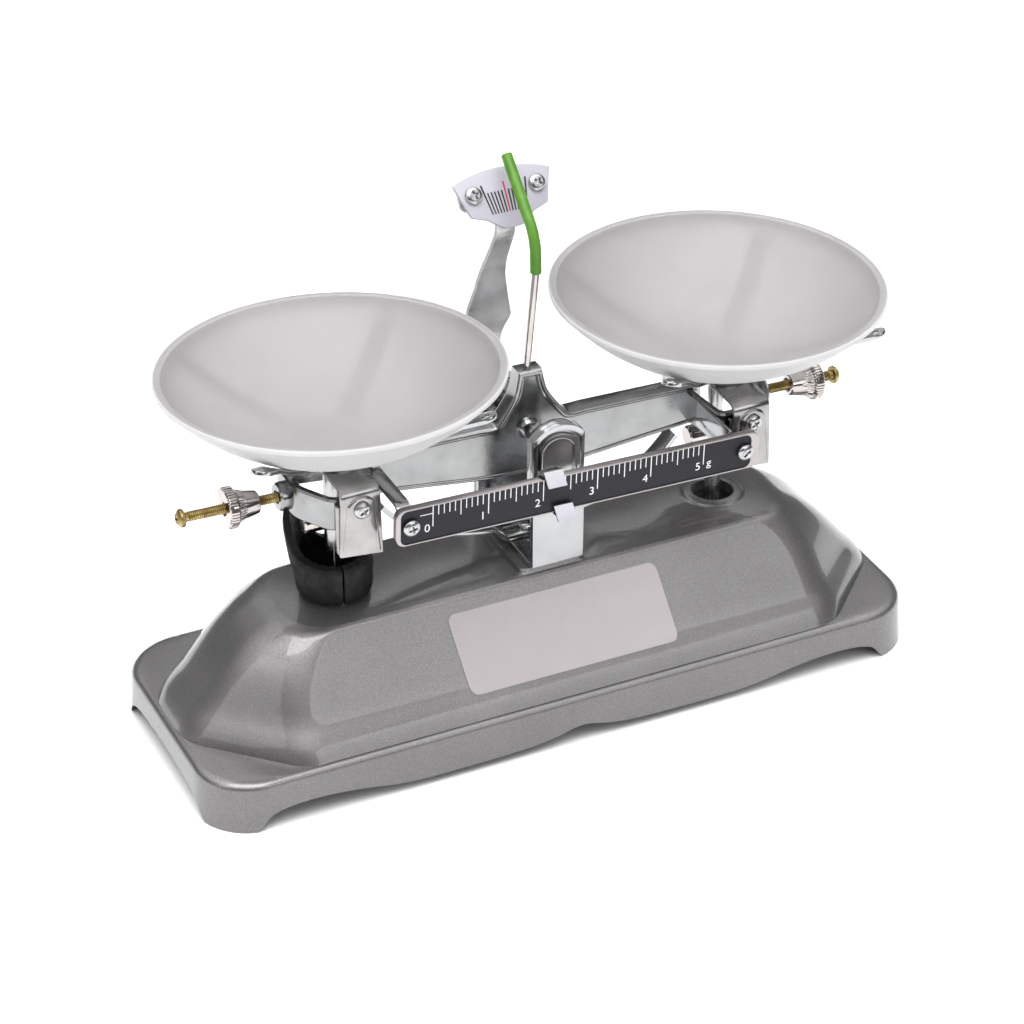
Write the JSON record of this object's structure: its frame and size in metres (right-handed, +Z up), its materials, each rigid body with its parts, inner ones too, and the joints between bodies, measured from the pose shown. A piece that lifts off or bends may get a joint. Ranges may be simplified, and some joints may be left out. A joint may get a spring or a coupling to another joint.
{
  "type": "double pan table balance",
  "caption": "Small two-pan table balance: a beam with pointer and rider scale on a knife edge, shallow round pans on guided posts, and a hollow pressed base with sloping sides.",
  "frame": {"origin": "on the table under the middle of the base", "axes": "+X along the beam to the right pan, +Y to the back where the pointer scale stands, +Z up"},
  "size_m": [0.1996, 0.0863, 0.1427],
  "materials": {
    "hammer_grey": "glossy mid-grey enamel with a fine metallic speckle",
    "bright_plate": "bright zinc or nickel plate on pressed sheet",
    "cast_plate": "bright plate over a slightly uneven casting",
    "steel": "plain steel, ground or turned",
    "black_bar": "black printed field inside a bright border",
    "white_plate": "satin white enamel with printed marks",
    "white_clip": "satin white enamel on thin sheet",
    "green_plastic": "satin green sleeve",
    "brass": "dull threaded brass",
    "nickel": "polished nickel plate",
    "frosted": "translucent frosted white plastic",
    "rubber": "matt black rubber"
  },
  "bodies": {
    "stand": {"base_shell": "hammer_grey", "bearing_bracket": "bright_plate", "front_centre_bearing": "steel", "rear_centre_bearing": "steel", "scale_upright": "bright_plate", "lower_upright_screw": "steel", "upper_upright_screw": "steel", "pointer_scale": "white_plate", "left_scale_screw": "steel", "right_scale_screw": "steel", "beam_stop": "bright_plate", "front_bracket_screw": "steel", "middle_bracket_screw": "steel", "rear_bracket_screw": "steel", "link_hanger": "bright_plate", "link_hanger_pin": "steel", "transit_sleeve": "rubber"},
    "beam_assembly": {"beam": "cast_plate", "centre_knife": "steel", "left_front_knife": "steel", "left_rear_knife": "steel", "right_front_knife": "steel", "right_rear_knife": "steel", "pointer_rod": "nickel", "pointer_sleeve": "green_plastic", "rider_bar": "black_bar", "left_bar_screw": "steel", "right_bar_screw": "steel", "left_bar_arm": "bright_plate", "right_bar_arm": "bright_plate", "left_balance_rod": "brass", "right_balance_rod": "brass"},
    "rider_clip": {"rider": "white_clip"},
    "left_nut": {"left_balance_nut": "nickel"},
    "right_nut": {"right_balance_nut": "nickel"},
    "left_holder": {"left_carrier": "bright_plate", "left_front_bearing": "steel", "left_rear_bearing": "steel", "left_front_ear_screw": "steel", "left_rear_ear_screw": "steel", "left_spider": "bright_plate", "left_post": "steel", "left_post_nut": "steel", "left_cross_bar": "nickel"},
    "left_dish": {"left_pan": "frosted"},
    "right_holder": {"right_carrier": "bright_plate", "right_front_bearing": "steel", "right_rear_bearing": "steel", "right_front_ear_screw": "steel", "right_rear_ear_screw": "steel", "right_spider": "bright_plate", "right_post": "steel", "right_post_nut": "steel", "right_cross_bar": "nickel"},
    "right_dish": {"right_pan": "frosted"},
    "link": {"check_link": "steel", "left_link_pin": "steel", "right_link_pin": "steel"}
  },
  "joints": [
    {"name": "beam_swing", "type": "hinge", "parent": "stand", "child": "beam_assembly", "pos_m": [0.0016, 0, 0.0726], "axis": [0, 1, 0], "range_deg": [-5, 2]},
    {"name": "left_holder_swing", "type": "hinge", "parent": "beam_assembly", "child": "left_holder", "pos_m": [-0.0523, 0, 0.06941], "axis": [0, 1, 0], "range_deg": [-2, 5]},
    {"name": "right_holder_swing", "type": "hinge", "parent": "beam_assembly", "child": "right_holder", "pos_m": [0.05526, 0, 0.06659], "axis": [0, 1, 0], "range_deg": [-2, 5]},
    {"name": "link_swing", "type": "hinge", "parent": "stand", "child": "link", "pos_m": [0.0016, 0, 0.0226], "axis": [0, 1, 0], "range_deg": [-5, 2]},
    {"name": "left_dish_lift", "type": "slide", "parent": "left_holder", "child": "left_dish", "axis": [0, 0, 1], "range_m": [0, 0.03]},
    {"name": "right_dish_lift", "type": "slide", "parent": "right_holder", "child": "right_dish", "axis": [0, 0, 1], "range_m": [0, 0.03]},
    {"name": "rider_slide", "type": "slide", "parent": "beam_assembly", "child": "rider_clip", "axis": [0.9997, 0, -0.0262], "range_m": [-0.0342, 0.0401]},
    {"name": "left_nut_travel", "type": "slide", "parent": "beam_assembly", "child": "left_nut", "axis": [0.9997, 0, -0.0262], "range_m": [-0.006, 0.0048]},
    {"name": "right_nut_travel", "type": "slide", "parent": "beam_assembly", "child": "right_nut", "axis": [0.9997, 0, -0.0262], "range_m": [-0.0066, 0.0044]}
  ],
  "couplings": [
    {"joint": "left_holder_swing", "follows": "beam_swing", "ratio": -1},
    {"joint": "right_holder_swing", "follows": "beam_swing", "ratio": -1},
    {"joint": "link_swing", "follows": "beam_swing", "ratio": 1}
  ]
}
